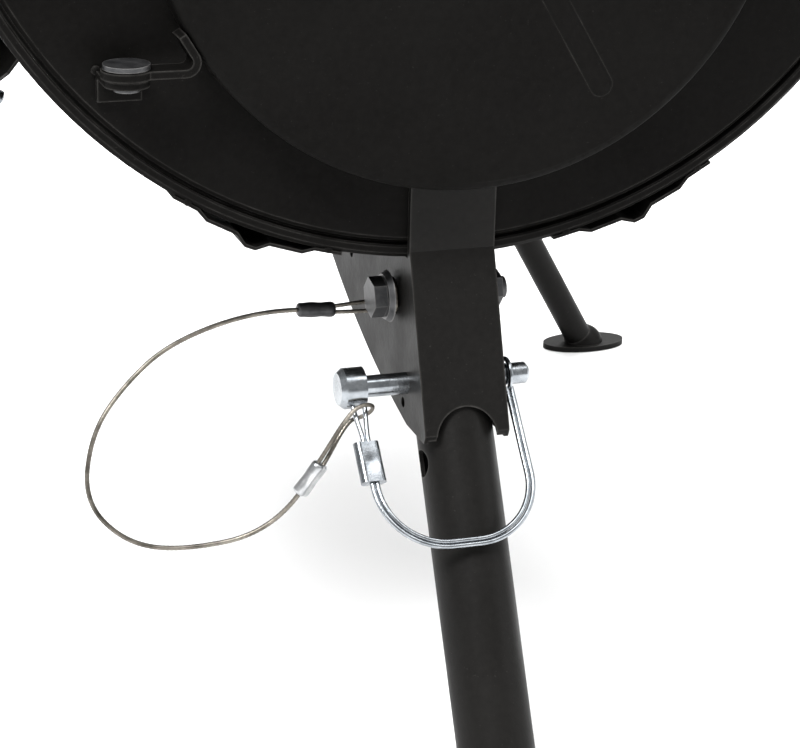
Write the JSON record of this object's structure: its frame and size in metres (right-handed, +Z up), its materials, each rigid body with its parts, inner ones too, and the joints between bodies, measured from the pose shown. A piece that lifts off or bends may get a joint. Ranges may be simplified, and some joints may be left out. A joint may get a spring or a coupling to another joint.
{
  "type": "barrel charcoal grill",
  "caption": "Round-bodied charcoal grill on folding tube legs, with a front door, hinged lid, lock pins with wire bails and a wire-rope lanyard.",
  "frame": {"origin": "on the floor under the middle of the part's bounding box", "axes": "+Z up, +Y from the front door end to the rear end along the drum's axis, +X to the right of someone facing the door"},
  "size_m": [0.5096, 0.536, 0.606],
  "materials": {
    "black_coat": "matte black powder coat",
    "leg_coat": "satin black powder coat",
    "dark_steel": "black oxide",
    "zinc_plate": "bright zinc plate",
    "aluminium_sleeve": "bright pressed aluminium",
    "wire_rope": "galvanised wire rope",
    "grate_steel": "drawn steel",
    "wood_grip": "oiled"
  },
  "bodies": {
    "drum": {"drum_shell": "black_coat", "front_end_plate": "black_coat", "rear_end_plate": "black_coat", "front_rim_ring": "black_coat", "rear_rim_ring": "black_coat", "skid_rail_left": "black_coat", "skid_rail_right": "black_coat", "leg_bracket_front": "leg_coat", "leg_bracket_rear_left": "leg_coat", "leg_bracket_rear_right": "leg_coat", "pivot_bolt_front": "dark_steel", "pivot_bolt_rear_left": "dark_steel", "pivot_bolt_rear_right": "dark_steel", "door_hinge_ears": "black_coat", "door_hinge_pins": "dark_steel", "lid_hinge_leaves_fixed": "black_coat", "lid_hinge_pins": "dark_steel", "cooking_grate": "grate_steel", "charcoal_grate": "grate_steel", "grate_ledges": "grate_steel", "lanyard_ferrule_bolt": "dark_steel", "lanyard_eye_bolt": "wire_rope", "lanyard_cable": "wire_rope"},
    "lid": {"lid_shell": "black_coat", "lid_front_plate": "black_coat", "lid_rear_plate": "black_coat", "lid_front_rim": "black_coat", "lid_rear_rim": "black_coat", "lid_hinge_leaves_lid": "black_coat", "lid_handle_arms": "black_coat", "lid_handle_grip": "wood_grip", "damper_stack": "black_coat", "damper_rivet": "zinc_plate"},
    "damper": {"damper_disc": "zinc_plate"},
    "door": {"door_pan": "black_coat", "door_hinge_tabs": "black_coat", "door_knob_stem": "dark_steel", "door_knob": "wood_grip", "vent_rivet": "zinc_plate"},
    "vent": {"vent_dial": "zinc_plate"},
    "leg_front": {"leg_tube_front": "leg_coat", "leg_stem_front": "leg_coat", "leg_foot_front": "leg_coat"},
    "pin_front": {"lock_pin_front": "zinc_plate", "bail_wire_front": "zinc_plate", "crimp_sleeve_front": "zinc_plate", "lanyard_ferrule_pin": "aluminium_sleeve", "lanyard_eye_pin": "wire_rope"},
    "leg_rear_left": {"leg_tube_rear_left": "leg_coat", "leg_stem_rear_left": "leg_coat", "leg_foot_rear_left": "leg_coat"},
    "pin_rear_left": {"lock_pin_rear_left": "zinc_plate", "bail_wire_rear_left": "zinc_plate", "crimp_sleeve_rear_left": "zinc_plate"},
    "leg_rear_right": {"leg_tube_rear_right": "leg_coat", "leg_stem_rear_right": "leg_coat", "leg_foot_rear_right": "leg_coat"},
    "pin_rear_right": {"lock_pin_rear_right": "zinc_plate", "bail_wire_rear_right": "zinc_plate", "crimp_sleeve_rear_right": "zinc_plate"}
  },
  "joints": [
    {"name": "door_swing", "type": "hinge", "parent": "drum", "child": "door", "pos_m": [-0.1195, -0.186, 0.3404], "axis": [0, 0, 1], "range_deg": [-110, 0]},
    {"name": "vent_turn", "type": "hinge", "parent": "door", "child": "vent", "pos_m": [0, -0.1924, 0.3404], "axis": [0, 1, 0], "range_deg": [0, 45]},
    {"name": "lid_swing", "type": "hinge", "parent": "drum", "child": "lid", "pos_m": [-0.16809, 0.048, 0.4725], "axis": [0, -1, 0], "range_deg": [0, 100]},
    {"name": "damper_turn", "type": "hinge", "parent": "lid", "child": "damper", "pos_m": [0, 0.158, 0.5974], "axis": [0, 0, 1], "range_deg": [0, 45]},
    {"name": "leg_fold_front", "type": "hinge", "parent": "drum", "child": "leg_front", "pos_m": [0, -0.159, 0.18], "axis": [1, 0, 0], "range_deg": [0, 112]},
    {"name": "bail_swing_front", "type": "hinge", "parent": "drum", "child": "pin_front", "pos_m": [0, -0.17426, 0.15153], "axis": [1, 0, 0], "range_deg": [-110, 0]},
    {"name": "leg_fold_rear_left", "type": "hinge", "parent": "drum", "child": "leg_rear_left", "pos_m": [-0.10558, 0.215, 0.20928], "axis": [-0.8572, 0, 0.515], "range_deg": [0, 92]},
    {"name": "bail_swing_rear_left", "type": "hinge", "parent": "drum", "child": "pin_rear_left", "pos_m": [-0.12206, 0.21949, 0.18186], "axis": [-0.8572, 0, 0.515], "range_deg": [-110, 0]},
    {"name": "leg_fold_rear_right", "type": "hinge", "parent": "drum", "child": "leg_rear_right", "pos_m": [0.10558, 0.215, 0.20928], "axis": [-0.8572, 0, -0.515], "range_deg": [0, 92]},
    {"name": "bail_swing_rear_right", "type": "hinge", "parent": "drum", "child": "pin_rear_right", "pos_m": [0.12206, 0.21949, 0.18186], "axis": [-0.8572, 0, -0.515], "range_deg": [-110, 0]}
  ]
}
